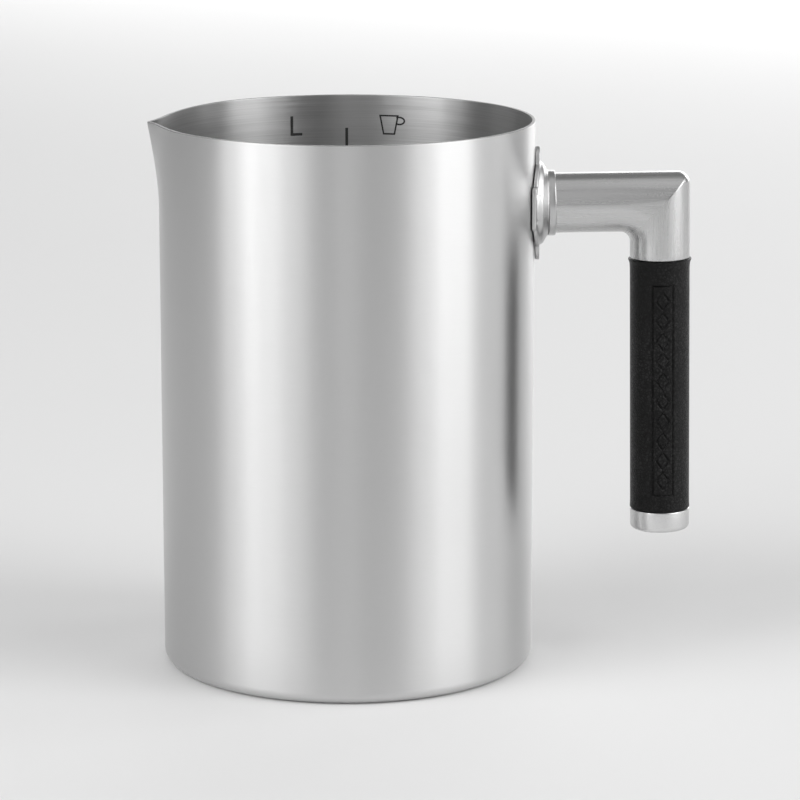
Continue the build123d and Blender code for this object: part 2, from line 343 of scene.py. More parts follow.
def drawn_group():
    """Lengthwise lines of drawn tube, which turn with the elbow at its mitre."""
    group, given, result = new_group(
        "drawn_lines",
        [
            ("Corner X", "NodeSocketFloat", 0.0),
            ("Corner Z", "NodeSocketFloat", 0.0),
            ("Lines per mm", "NodeSocketFloat", 3.0),
        ],
        [("Lines", "NodeSocketFloat")],
    )
    wire = Wiring(group)
    parts = wire.node("SeparateXYZ")
    wire.join(wire.spot(), parts.inputs[0])
    x, y, z = parts.outputs
    along_arm = wire.math("SUBTRACT", given.outputs["Corner X"], x)
    down_leg = wire.math("SUBTRACT", given.outputs["Corner Z"], z)
    lengthwise_scale = 25.0  # per metre, so that a line runs on for about 40 mm
    leg_shift = 7.3  # takes the leg's lines from another part of the noise
    on_leg = wire.math("GREATER_THAN", down_leg, along_arm)
    length = wire.math("MAXIMUM", along_arm, down_leg)
    depth = wire.math("MINIMUM", along_arm, down_leg)
    fine = wire.math("MULTIPLY", given.outputs["Lines per mm"], 1000.0)
    spot = wire.node("CombineXYZ")
    wire.join(wire.math("MULTIPLY", length, lengthwise_scale), spot.inputs[0])
    wire.join(wire.math("MULTIPLY", y, fine), spot.inputs[1])
    wire.join(wire.math("MULTIPLY", depth, fine), spot.inputs[2])
    shifted = wire.node("VectorMath", operation="ADD")
    wire.join(spot.outputs[0], shifted.inputs[0])
    wire.join(wire.math("MULTIPLY", on_leg, leg_shift), shifted.inputs[1])
    lines = wire.noise(shifted.outputs[0], scale=1.0, detail=3.0, roughness=0.6)
    wire.join(lines, result.inputs["Lines"])
    return group


def hide_group():
    """Grain of hide: pebbles parted by fine creases, with pores, wrinkles and a slow drift."""
    group, given, result = new_group(
        "hide_grain",
        [("Pebbles per mm", "NodeSocketFloat", 1.2)],
        [("Height", "NodeSocketFloat"), ("Drift", "NodeSocketFloat")],
    )
    bend = 0.5 * MM  # how far the creases wander
    crease_width = 0.16  # share of a pebble
    pebble_share, pore_share, wrinkle_share = 0.35, 0.6, 0.7
    wire = Wiring(group)
    spot = wire.spot()
    warp = wire.node("TexNoise")
    warp.inputs["Scale"].default_value = 700.0
    wire.join(spot, warp.inputs["Vector"])
    bent = wire.node("VectorMath", operation="MULTIPLY_ADD")
    wire.join(warp.outputs["Color"], bent.inputs[0])
    bent.inputs[1].default_value = (bend, bend, bend)
    wire.join(spot, bent.inputs[2])
    per_metre = wire.math("MULTIPLY", given.outputs["Pebbles per mm"], 1000.0)
    cells = wire.node("TexVoronoi", feature="DISTANCE_TO_EDGE")
    wire.join(bent.outputs[0], cells.inputs["Vector"])
    wire.join(per_metre, cells.inputs["Scale"])
    crease = wire.remap(cells.outputs["Distance"], 0.0, crease_width, 1.0, 0.0)
    pores = wire.noise(spot, scale=3600.0, detail=3.0, roughness=0.65)
    wrinkles = wire.noise(spot, scale=1100.0, detail=3.0, roughness=0.6)
    drift = wire.noise(spot, scale=60.0, detail=3.0)
    pebble = wire.math("MULTIPLY", wire.math("SUBTRACT", 1.0, crease), pebble_share)
    bumps = wire.math(
        "ADD",
        wire.math("MULTIPLY", pores, pore_share),
        wire.math("MULTIPLY", wrinkles, wrinkle_share),
    )
    wire.join(wire.math("ADD", pebble, bumps), result.inputs["Height"])
    wire.join(drift, result.inputs["Drift"])
    return group


brushing = brushing_group()
satin_tooth = satin_group()
drawn_lines = drawn_group()
hide_grain = hide_group()


def new_finish(name, **constants):
    """Material with one Principled shader, and constants set on the shader's own sockets."""
    finish = bpy.data.materials.new(name)
    finish.use_nodes = True
    shader = finish.node_tree.nodes["Principled BSDF"]
    for label, value in constants.items():
        shader.inputs[label.replace("_", " ")].default_value = value
    return finish, shader, Wiring(finish.node_tree)


def tone(wire, mask, dark, light, shader):
    """Base colour that runs from a dark grey to a light one with the mask."""
    ramp = wire.node("ValToRGB")
    ramp.color_ramp.elements[0].color = (dark, dark, dark, 1)
    ramp.color_ramp.elements[1].color = (light, light, light, 1)
    wire.join(mask, ramp.inputs["Fac"])
    wire.join(ramp.outputs["Color"], shader.inputs["Base Color"])


def gloss(wire, mask, low, high, at_low, at_high, shader):
    """Roughness that runs from one value to another while the mask runs from low to high."""
    wire.join(wire.remap(mask, low, high, at_low, at_high), shader.inputs["Roughness"])


def relief(wire, height, shader, depth_mm):
    """Surface relief of this depth."""
    bump = wire.node("Bump")
    bump.inputs["Distance"].default_value = depth_mm * MM
    bump.inputs["Strength"].default_value = 1.0
    wire.join(height, bump.inputs["Height"])
    wire.join(bump.outputs["Normal"], shader.inputs["Normal"])


def brushed_steel(name, hairs, length, grey, drift, rough, depth, stretch):
    """Stainless sheet brushed around the vessel's axis."""
    finish, shader, wire = new_finish(name, Metallic=1.0, Anisotropic=stretch, Anisotropic_Rotation=0.25)
    grain = wire.effect(brushing, Hairs_per_mm=hairs, Hair_Length_mm=length)
    around = wire.node("Tangent", direction_type="RADIAL", axis="Z")
    wire.join(around.outputs[0], shader.inputs["Tangent"])
    hair_share, cloud_share = 0.75, 0.25
    blend = wire.math(
        "ADD",
        wire.math("MULTIPLY", grain.outputs["Hairlines"], hair_share),
        wire.math("MULTIPLY", grain.outputs["Cloud"], cloud_share),
    )
    spread = wire.remap(blend, 0.3, 0.7, 0.0, 1.0)
    tone(wire, spread, grey - drift, grey + drift, shader)
    gloss(wire, blend, 0.3, 0.7, rough - 0.04, rough + 0.04, shader)
    relief(wire, grain.outputs["Hairlines"], shader, depth)
    return finish


def satin_steel(name, tooth, grey, rough, depth):
    """Stainless tube or turned part with an even satin finish."""
    finish, shader, wire = new_finish(name, Metallic=1.0)
    grain = wire.effect(satin_tooth, Tooth_per_mm=tooth)
    spread = wire.remap(grain.outputs["Cloud"], 0.3, 0.7, 0.0, 1.0)
    tone(wire, spread, grey - 0.03, grey + 0.03, shader)
    gloss(wire, grain.outputs["Tooth"], 0.3, 0.7, rough - 0.04, rough + 0.04, shader)
    relief(wire, grain.outputs["Tooth"], shader, depth)
    return finish


def drawn_steel(name, grey, rough, depth):
    """Stainless tube, satin with lengthwise lines."""
    finish, shader, wire = new_finish(name, Metallic=1.0)
    lines = wire.effect(drawn_lines, Corner_X=elbow_corner.x, Corner_Z=elbow_corner.z, Lines_per_mm=0.55)
    tooth = wire.effect(satin_tooth)
    line_share, tooth_share = 0.8, 0.2
    blend = wire.math("MULTIPLY_ADD", lines.outputs["Lines"], line_share)
    wire.join(wire.math("MULTIPLY", tooth.outputs["Tooth"], tooth_share), blend.node.inputs[2])
    spread = wire.remap(blend, 0.35, 0.65, 0.0, 1.0)
    tone(wire, spread, grey - 0.035, grey + 0.035, shader)
    gloss(wire, blend, 0.35, 0.65, rough - 0.05, rough + 0.05, shader)
    relief(wire, blend, shader, depth)
    return finish


def black_hide():
    """Smooth black leather with a close grain and a soft waxed sheen; its colour is painted lighter on the
    raised grain as highlights and darker in the creases as shade.
    """
    finish, shader, wire = new_finish("black_leather", Specular_IOR_Level=0.18)
    grain = wire.effect(hide_grain, Pebbles_per_mm=1.0)
    # Painted highlights and shade: the base colour gets lighter on the raised grain, standing in for the
    # light it catches, and darker in the creases between pebbles.
    painted_grain_highlights = wire.remap(grain.outputs["Height"], 0.88, 1.12, 0.0, 1.0)
    patches = wire.remap(grain.outputs["Drift"], 0.35, 0.65, 0.35, 1.0)
    shade = wire.math("MULTIPLY", painted_grain_highlights, patches, clamp=True)
    tone(wire, shade, dark=0.0015, light=0.022, shader=shader)
    gloss(wire, grain.outputs["Height"], 0.5, 1.2, 0.5, 0.3, shader)
    relief(wire, grain.outputs["Height"], shader, depth_mm=0.13)
    return finish


def waxed_thread():
    """Black waxed linen, laid up from fine strands."""
    finish, shader, wire = new_finish("waxed_thread", Roughness=0.55)
    strands = wire.node("TexWave", bands_direction="DIAGONAL")
    strands.inputs["Scale"].default_value = 900.0
    strands.inputs["Distortion"].default_value = 1.5
    wire.join(wire.spot(), strands.inputs["Vector"])
    tone(wire, strands.outputs["Fac"], dark=0.01, light=0.045, shader=shader)
    relief(wire, strands.outputs["Fac"], shader, depth_mm=0.05)
    return finish


def etched_mark():
    """Dark electro-etched oxide, slightly patchy."""
    finish, shader, wire = new_finish("etched_oxide", Metallic=0.4)
    speckle = wire.noise(wire.spot(), scale=2500.0, detail=2.0)
    tone(wire, speckle, dark=0.012, light=0.05, shader=shader)
    gloss(wire, speckle, 0.3, 0.7, 0.45, 0.7, shader)
    return finish


# Hairs and tooth are per mm, hair lengths and depths of relief in mm, and grey is the steel's reflectance.
outside_steel = brushed_steel(
    "brushed_outside", hairs=9.0, length=6.0, grey=0.62, drift=0.012, rough=0.36, depth=0.0015, stretch=0.8
)
inside_steel = brushed_steel(
    "brushed_inside", hairs=3.0, length=30.0, grey=0.57, drift=0.07, rough=0.34, depth=0.018, stretch=0.7
)
rim_steel = satin_steel("trimmed_edge", tooth=3.0, grey=0.36, rough=0.5, depth=0.006)
plate_steel = satin_steel("pressed_plate", tooth=5.0, grey=0.55, rough=0.36, depth=0.006)
tube_steel = drawn_steel("drawn_tube", grey=0.58, rough=0.27, depth=0.016)
collar_steel = satin_steel("satin_collar", tooth=6.0, grey=0.56, rough=0.3, depth=0.006)
cap_steel = satin_steel("satin_cap", tooth=6.0, grey=0.68, rough=0.3, depth=0.006)
turned_steel = satin_steel("turned_plug", tooth=3.0, grey=0.55, rough=0.36, depth=0.01)
screw_steel = satin_steel("screw_steel", tooth=4.0, grey=0.5, rough=0.3, depth=0.006)
black_leather = black_hide()
thread = waxed_thread()
etched_oxide = etched_mark()


# ------------------------ vessel


def pull_at(height):
    """Share of the full pull that the wall has at this height."""
    climb = max(0.0, (height - (vessel_height - spout_depth)) / spout_depth)
    return min(1.0, (climb / lip_start) ** pull_growth)


def pulled_offset(angle, pull):
    """How far the wall stands outside the round one, at this many degrees from the spout."""
    if abs(angle) >= spout_span:
        return 0.0
    width = ridge_width_foot + (ridge_width_rim - ridge_width_foot) * pull
    fade = cos(radians(90 * angle / spout_span)) ** 2
    ridge = exp(-(sqrt(angle**2 + ridge_round**2) - ridge_round) / width) * fade
    hollow = sin(radians(180 * angle / spout_span)) ** 2
    return pull * (spout_reach * ridge - spout_hollow * hollow)


def rim_height(x):
    """Height of the rim, which falls in a long arc towards the tip."""
    past = -x - rim_drop_start
    if past <= 0:
        return vessel_height
    length = vessel_radius + spout_reach - rim_drop_start
    arc = length**2 / (2 * rim_drop)
    return vessel_height - (arc - sqrt(arc**2 - past**2))


def wall_point(angle, height, radius, below_rim=None):
    """Point of the wall at an angle from the spout, at a height or at a depth below the rim."""
    distance = radius + pulled_offset(angle, pull_at(height))
    turn = radians(angle)
    if below_rim is not None:
        height = rim_height(-distance * cos(turn)) - below_rim
        distance = radius + pulled_offset(angle, pull_at(height))
    return Vector((-distance * cos(turn), distance * sin(turn), height))


def vessel_mesh():
    """Drawn cup: flat floor, small corner, straight wall and pulled spout, closed over its thickness."""
    ridge_steps, round_steps = 44, 180
    beside = [spout_span * (step / ridge_steps) ** 1.6 for step in range(1, ridge_steps + 1)]
    around = [spout_span + (360 - 2 * spout_span) * step / round_steps for step in range(1, round_steps)]
    angles = [0.0] + beside + around + [360 - angle for angle in reversed(beside)]
    angles = [angle if angle <= 180 else angle - 360 for angle in angles]
    straight_top = vessel_height - spout_depth
    floor_shares = (0.1, 0.35, 0.6, 0.8, 0.93)
    near_rim = [1.6 * MM, 1.0 * MM, 0.6 * MM, 0.35 * MM]
    level_top = vessel_height - 2.4 * MM  # above this the rings follow the rim

    def corner(radius, centre_height):
        steps = 8
        return [
            (vessel_radius - base_corner + radius * sin(pi / 2 * step / steps),
             centre_height - radius * cos(pi / 2 * step / steps))
            for step in range(steps + 1)
        ]

    def level(radius, height):
        return [Vector((-radius * cos(radians(a)), radius * sin(radians(a)), height)) for a in angles]

    def at_rim(inset, below):
        return [wall_point(a, vessel_height, vessel_radius - inset, below) for a in angles]

    def at_height(inset, height):
        return [wall_point(a, height, vessel_radius - inset) for a in angles]

    rings, finishes = [], []

    def add(ring, finish):
        rings.append(ring)
        finishes.append(finish)

    outside, inside, rim = 0, 1, 2
    floor_radius = vessel_radius - base_corner
    for share in floor_shares:
        add(level(floor_radius * share, 0.0), outside)
    for radius, height in corner(base_corner, base_corner):
        add(level(radius, height), outside)
    wall_levels = [base_corner + (straight_top - base_corner) * step / 12 for step in range(1, 13)]
    pull_levels = [straight_top + (level_top - straight_top) * step / 30 for step in range(1, 31)]
    for height in wall_levels + pull_levels:
        add(at_height(0.0, height), outside)
    for below in near_rim:
        add(at_rim(0.0, below), outside)
    for inset, below in quarter_round(edge_break):
        add(at_rim(inset, below), rim)
    for below, inset in quarter_round(edge_break):
        add(at_rim(vessel_wall - inset, below), rim)
    finishes[-1] = inside
    for below in reversed(near_rim):
        add(at_rim(vessel_wall, below), inside)
    for height in reversed(wall_levels + pull_levels):
        add(at_height(vessel_wall, height), inside)
    for radius, height in reversed(corner(base_corner - vessel_wall, base_corner)):
        add(level(radius, height), inside)
    for share in reversed(floor_shares):
        add(level(floor_radius * share, vessel_wall), inside)
    poles = (Vector((0, 0, 0)), Vector((0, 0, vessel_wall)))
    return skin("vessel_shell", rings, poles=poles, finishes=finishes, sharp=radians(35))


place(vessel_mesh(), [outside_steel, inside_steel, rim_steel], ["vessel"])

# ------------------------ saddle plate with its drawn neck

disc_radius = 13.0 * MM
lobe_half_width, lobe_half_height, lobe_corner = 13.4 * MM, 6.5 * MM, 1.6 * MM
tongue_half_width, tongue_tip, tongue_reach = 6.6 * MM, 4.4 * MM, 16.8 * MM
neck_foot_radius = 12.6 * MM
neck_shoulder = 11.4 * MM
neck_step, neck_crown = 1.15 * MM, 1.0 * MM  # rises from the plate to the shoulder, and on to the collar
crown_drop = 0.15 * MM  # from the collar's seat to the top of the crown
hollow_radius = neck_foot_radius - plate_thickness  # of the neck's hollow, seen from the back
hollow_slope = 1.6 * MM
weld_places = [(side * 11.9 * MM, rise * 3.9 * MM) for side in (-1, 1) for rise in (-1, 1)]
weld_radius, weld_depth = 0.62 * MM, 0.22 * MM


def tongue_half_width_at(rise):
    """Half width of a tongue: straight at its root, a tangent flank, then a round tip."""
    tip_centre = tongue_reach - tongue_tip
    gap = tip_centre - lobe_half_height
    if rise <= lobe_half_height:
        return tongue_half_width
    if rise >= tongue_reach:
        return -1.0
    flank_angle = atan2(tongue_half_width, -gap) - acos(tongue_tip / hypot(tongue_half_width, gap))
    touch_rise = tip_centre + tongue_tip * cos(flank_angle)
    touch_width = tongue_tip * sin(flank_angle)
    if rise >= touch_rise:
        return sqrt(max(0.0, tongue_tip**2 - (rise - tip_centre) ** 2))
    share = (rise - lobe_half_height) / (touch_rise - lobe_half_height)
    return tongue_half_width + (touch_width - tongue_half_width) * share


def on_plate(across, rise):
    """Whether a place on the flat blank, measured from the arm's axis, is on the plate."""
    if hypot(across, rise) <= disc_radius:
        return True
    if abs(across) <= tongue_half_width_at(abs(rise)):
        return True
    past_across = abs(across) - (lobe_half_width - lobe_corner)
    past_rise = abs(rise) - (lobe_half_height - lobe_corner)
    if past_across <= 0 or past_rise <= 0:
        return max(past_across, past_rise) <= lobe_corner
    return hypot(past_across, past_rise) <= lobe_corner


def plate_edge(turn):
    """How far the plate reaches in this direction."""
    near, far = 8.0 * MM, 20.0 * MM
    for _ in range(22):
        middle = (near + far) / 2
        if on_plate(middle * sin(turn), middle * cos(turn)):
            near = middle
        else:
            far = middle
    return near


def neck_rise(distance):
    """How far the drawn neck stands over the plate at this distance from its axis."""
    if distance >= neck_foot_radius:
        return 0.0
    if distance >= neck_shoulder:
        share = (neck_foot_radius - distance) / (neck_foot_radius - neck_shoulder)
        return neck_step * (1 - cos(pi * share)) / 2
    share = (neck_shoulder - distance) / (neck_shoulder - collar_radius)
    return neck_step + neck_crown * share


def saddle_mesh():
    """Pressed plate: front face with the neck, broken edges, and the back that lies on the wall."""
    steps = 360
    turns = [2 * pi * step / steps for step in range(steps)]
    edges = [plate_edge(turn) for turn in turns]
    bore = tube_radius - tube_wall
    neck_rows = [bore, collar_radius - 0.3 * MM, collar_radius]
    neck_rows += [collar_radius + (neck_foot_radius - collar_radius) * step / 16 for step in range(1, 17)]

    def wrapped(distance, turn, radius):
        across = distance * sin(turn)
        return sqrt(radius**2 - across**2), across, arm_height + distance * cos(turn)

    def front(distance, turn):
        x, across, height = wrapped(distance, turn, plate_outside)
        if distance <= collar_radius:
            return Vector((neck_face, across, height))
        flat_top = neck_face - crown_drop
        share = neck_rise(distance) / (neck_step + neck_crown)
        x = x + (flat_top - x) * share
        for weld_across, weld_up in weld_places:
            away = hypot(across - weld_across, height - arm_height - weld_up)
            x -= weld_depth * exp(-((away / weld_radius) ** 4))
        return Vector((x, across, height))

    def back(distance, turn):
        x, across, height = wrapped(distance, turn, plate_inside)
        if distance < hollow_radius:
            rise = min(1.0, (hollow_radius - distance) / hollow_slope)
            x += (neck_face - plate_thickness - x) * rise
        return Vector((x, across, height))

    def bent(radius, inset):
        """Ring that follows the plate's outline at this distance inside it."""
        return [Vector(wrapped(edge - inset, turn, radius)) for edge, turn in zip(edges, turns)]

    rings = [[front(row, turn) for turn in turns] for row in neck_rows]
    skirt_rows = 14
    for row in range(1, skirt_rows + 1):
        share = row / skirt_rows
        rings.append([
            front(neck_foot_radius + (edge - plate_edge_break - neck_foot_radius) * share, turn)
            for edge, turn in zip(edges, turns)
        ])
    for dip, inset in quarter_round(plate_edge_break)[1:]:
        rings.append(bent(plate_outside - dip, inset))
    for inset, dip in quarter_round(plate_edge_break):
        rings.append(bent(plate_inside + dip, inset))
    back_rows = [neck_foot_radius]
    back_rows += [hollow_radius - hollow_slope * step / 2 for step in range(3)]
    back_rows += [collar_radius - 0.6 * MM, bore]
    for row in back_rows:
        rings.append([back(min(row, edge - plate_edge_break), turn) for edge, turn in zip(edges, turns)])
    return skin("saddle_plate_pressed", rings, loop=True, sharp=radians(50))


place(saddle_mesh(), [plate_steel], ["saddle_plate"])

# ------------------------ collar, elbow and cap


def collar_mesh():
    """Short ring with both outer edges rounded."""
    inside = tube_radius + 0.04 * MM
    corners = [
        (0.0, inside, 0.05 * MM),
        (0.0, collar_radius, 0.35 * MM),
        (collar_length, collar_radius, 0.35 * MM),
        (collar_length, inside, 0.1 * MM),
    ]
    rings = turned_rings(softened(corners), neck_centre, arm_direction)
    return skin("collar", rings, loop=True)


place(collar_mesh(), [collar_steel], ["collar_ring"])


def corner_rounding(lean):
    """Radius of the elbow's corner at this place around the tube: 1 is the outside, -1 the inside."""
    crease = 0.35 * MM
    crease_start = 0.22  # how far out round the tube the crease is fully formed
    if lean <= 0:
        return tube_radius + inner_corner + lean * tube_radius
    centre_radius = tube_radius + inner_corner
    fade = min(1.0, lean / crease_start)
    fade = fade * fade * (3 - 2 * fade)
    rounding = centre_radius + (crease - centre_radius) * fade
    over = max(0.0, (lean - corner_start) / (1 - corner_start))
    return rounding + (outer_corner - crease) * over**1.6


def elbow_mesh():
    """Mitred elbow: creased outside, filleted inside, rounded over at the outermost corner."""
    bend_steps, arm_steps, leg_steps = 18, 6, 3
    around = circle(144)

    def run(radius, end):
        """Rings from the arm's start to end down the leg, for a tube of this radius."""
        rings = []
        bend = tube_radius + inner_corner  # from the corner to where the bend starts, on either side
        arm_stops = [(arm_length - bend) * step / arm_steps for step in range(arm_steps)]
        leg_stops = [bend + (end - bend) * step / leg_steps for step in range(1, leg_steps + 1)]

        def point(x, z, side):
            return elbow_corner + arm_direction * x - leg_direction * z + across_handle * (side * radius)

        for stop in arm_stops:
            rings.append([point(stop - arm_length, lean * radius, side) for lean, side in around])
        for step in range(bend_steps + 1):
            turn = pi / 2 * step / bend_steps
            ring = []
            for lean, side in around:
                rounding = corner_rounding(lean)
                reach = lean * radius
                centre = reach - rounding
                ring.append(point(centre + rounding * sin(turn), centre + rounding * cos(turn), side))
            rings.append(ring)
        for stop in leg_stops:
            rings.append([point(lean * radius, -stop, side) for lean, side in around])
        return rings

    edge = 0.22 * MM
    bore = tube_radius - tube_wall
    rings = run(tube_radius, elbow_drop - edge)
    foot = elbow_corner + leg_direction * elbow_drop
    lip = [(tube_radius - inset, rise) for inset, rise in quarter_round(edge)[1:]]
    lip.append((bore + edge, 0.0))
    for radius, rise in lip:
        rings.append([
            foot - leg_direction * rise + arm_direction * (radius * lean) + across_handle * (radius * side)
            for lean, side in around
        ])
    rings += reversed(run(bore, elbow_drop - edge))
    return skin("elbow", rings, loop=True, sharp=radians(60))


place(elbow_mesh(), [tube_steel], ["elbow_arm"])


def cap_mesh():
    """Turned end cap: broken top edge, rounded foot and a recess for the screw's head."""
    recess = 4.5 * MM
    hole = 2.75 * MM
    washer_seat = cap_top + 1.3 * MM
    plug = core_radius - 1.5 * MM - 0.05 * MM
    plug_top = cap_top - 8.0 * MM
    corners = [
        (plug_top, hole, 0.0),
        (plug_top, plug, 0.3 * MM),
        (cap_top, plug, 0.0),
        (cap_top, tube_radius, 0.3 * MM),
        (cap_foot, tube_radius, cap_round),
        (cap_foot, recess, 0.25 * MM),
        (washer_seat, recess, 0.0),
        (washer_seat, hole, 0.0),
    ]
    rings = turned_rings(softened(corners, steps=6), elbow_corner, leg_direction)
    return skin("end_cap_turned", rings, loop=True, sharp=radians(35))


place(cap_mesh(), [cap_steel], ["end_cap"])

# ------------------------ leather grip and its stitching

seam_turn = pi / 2  # the seam faces +Y
seam_half_width = 0.3 * MM
seam_depth = 0.9 * MM
channel_half_width = 2.9 * MM
channel_depth = 0.75 * MM
rolled_edge = 0.5 * MM
flare_top, flare_foot = 0.8 * MM, 0.15 * MM
flare_fade = 0.75 * MM  # distance in which a flare falls to about a third
stitch_pitch = 4.5 * MM
stitch_margin = 4.0 * MM
hole_across = 2.1 * MM
hole_along = 0.9 * MM
hole_radius, hole_depth = 0.5 * MM, 0.4 * MM
thread_radius = 0.32 * MM
thread_lifts = ((1, 0.1 * MM), (-1, 0.45 * MM))  # slant of each thread, and how high it arches
thread_rest = 0.12 * MM  # height of a thread's middle line over the channel
thread_dive = 0.55 * MM  # how far it dips at its holes

# Blind-tooled panel on the side that faces out of the palm
panel_turn = -pi / 2 + 0.03
panel_half_width = 3.1 * MM
panel_half_length = 31.5 * MM
panel_shift = 1.0 * MM  # below the middle of the leather
tool_width = 0.5 * MM
tool_depth = 0.4 * MM
lozenge_count = 10  # an even number, so that the row is centred
lozenge_half_width = 1.9 * MM
lozenge_share = 0.44  # half length of a lozenge, as a share of their pitch
lozenge_slant = 0.75  # turns a step across into the distance from a lozenge's slanted line
row_margin = 1.5 * MM


def stitch_stations():
    """Places of the stitches down the leg, centred on the leather."""
    run = leather_foot - leather_top - 2 * stitch_margin
    count = int(run / stitch_pitch) + 1
    first = (leather_top + leather_foot - stitch_pitch * (count - 1)) / 2
    return [first + stitch_pitch * index for index in range(count)]


def groove(distance):
    """Depth pressed by the tool at this distance from its line."""
    return tool_depth * exp(-((distance / (tool_width / 2)) ** 4))


def tooling(across, along):
    """Depth of the tooled panel: a long frame around a row of lozenges."""
    along -= (leather_top + leather_foot) / 2 + panel_shift
    if abs(along) > panel_half_length + tool_width or abs(across) > panel_half_width + tool_width:
        return 0.0
    frame_line = max(abs(across) - panel_half_width, abs(along) - panel_half_length)
    pitch = 2 * (panel_half_length - row_margin) / lozenge_count
    place_in_row = (along / pitch) % 1.0 - 0.5
    if abs(along) > pitch * lozenge_count / 2:
        return groove(frame_line)
    size = abs(across) / lozenge_half_width + abs(place_in_row) / lozenge_share
    return max(groove(frame_line), groove((size - 1) * lozenge_half_width * lozenge_slant))


def leather_radius(turn, along):
    """Outside of the leather: flared ends, the seam's channel, slit and holes, and the tooled panel."""
    swell = flare_top * exp(-(along - leather_top) / flare_fade)
    swell += flare_foot * exp(-(leather_foot - along) / flare_fade)
    away = abs((turn - seam_turn + pi) % (2 * pi) - pi) * tube_radius
    channel = channel_depth * exp(-((away / channel_half_width) ** 4))
    slit = seam_depth * exp(-((away / seam_half_width) ** 2))
    pucker = 0.0
    if away < 2 * channel_half_width:
        for station in stitches:
            for rise in (-hole_along, hole_along):
                hole = hypot(along - station - rise, away - hole_across)
                pucker += hole_depth * exp(-((hole / hole_radius) ** 2))
    across = ((turn - panel_turn + pi) % (2 * pi) - pi) * tube_radius
    return tube_radius + swell - channel - slit - pucker - tooling(across, along)


def leather_turns():
    """Places around the leg, close together at the seam and at the tooled panel."""
    close_step, wide_step, close_span = 0.018, 0.06, 0.42
    turns, turn = [], 0.0
    while turn < 2 * pi - wide_step / 2:
        turns.append(turn)
        near_seam = abs(turn - seam_turn) < close_span
        near_panel = abs(turn - (panel_turn + 2 * pi)) < close_span
        turn += close_step if near_seam or near_panel else wide_step
    return turns


def around_leg(turn, along, radius):
    """Point on a tube around the leg."""
    spoke = arm_direction * cos(turn) + across_handle * sin(turn)
    return elbow_corner + leg_direction * along + spoke * radius


def leather_mesh():
    """Wrapped hide sleeve with rolled edges."""
    inside = core_radius + 0.1 * MM
    turns = leather_turns()
    roll_steps, body_rows = 6, 300
    body_top, body_foot = leather_top + rolled_edge, leather_foot - rolled_edge
    rows = [(leather_top + along, drop) for along, drop in quarter_round(rolled_edge, roll_steps)]
    for step in range(1, body_rows):
        rows.append((body_top + (body_foot - body_top) * step / body_rows, 0.0))
    rows += [(leather_foot - along, drop) for drop, along in quarter_round(rolled_edge, roll_steps)]
    rings = []
    for along, drop in rows:
        rings.append([around_leg(turn, along, leather_radius(turn, along) - drop) for turn in turns])
    for along in (leather_foot, leather_foot - 1 * MM, leather_top + 1 * MM, leather_top):
        rings.append([around_leg(turn, along, inside) for turn in turns])
    return skin("leather_grip", rings, loop=True, sharp=radians(70))


def stitch_rings(station, slant, lift):
    """One thread from hole to hole across the seam, as rings around its arched path."""
    steps, around = 14, circle(10)
    path = []
    for step in range(steps + 1):
        share = 2 * step / steps - 1
        arch = (1 - share**2) * lift - thread_dive * abs(share) ** 6
        surface = tube_radius - channel_depth + thread_rest
        path.append(
            elbow_corner
            + leg_direction * (station + slant * share * hole_along)
            + arm_direction * (share * hole_across)
            + across_handle * (surface + arch)
        )
    rings = []
    for index, middle in enumerate(path):
        ahead = (path[min(index + 1, steps)] - path[max(index - 1, 0)]).normalized()
        side = ahead.cross(leg_direction).normalized()
        up = side.cross(ahead)
        rings.append([middle + (side * lean + up * rise) * thread_radius for lean, rise in around])
    return rings, path


def stitching_mesh():
    """Cross stitches over the seam, two threads at each station."""
    parts = []
    for station in stitches:
        for slant, lift in thread_lifts:
            rings, path = stitch_rings(station, slant, lift)
            parts.append(skin("stitch", rings, poles=(path[0], path[-1]), sharp=radians(60)))
    return joined("cross_stitches", parts)


stitches = stitch_stations()
place(leather_mesh(), [black_leather], ["leather_sleeve"])
place(stitching_mesh(), [thread], ["seam_stitching"])

# ------------------------ measuring scale etched inside the wall

inner_radius = vessel_radius - vessel_wall
etch_stand = 0.05 * MM
litre_rise = 1e6 * MM**3 / (pi * inner_radius**2)  # height that one litre fills
line_top = 151.5 * MM
line_foot = 22 * MM
main_stroke = 0.85 * MM
fine_stroke = 0.5 * MM
tick_length = 5.5 * MM
figure_height = 4.6 * MM
unit_centre = 15.4 * MM  # of the litre column to the left, and of the cup column to the right
cup_shift = 2.3 * MM  # of the cup and its numbers towards the line, which leaves room for the cup's handle
letter_half_width = 1.65 * MM
unit_foot = 149.8 * MM
unit_height = 5.6 * MM
capital_share = 0.73  # height of a figure, as a share of the font's size


def on_inner_wall(around, height, stand):
    """Point on the inner wall, at a distance round from +Y towards +X, standing this far off the steel."""
    turn = around / inner_radius
    radius = inner_radius - stand
    return Vector((radius * sin(turn), radius * cos(turn), height))


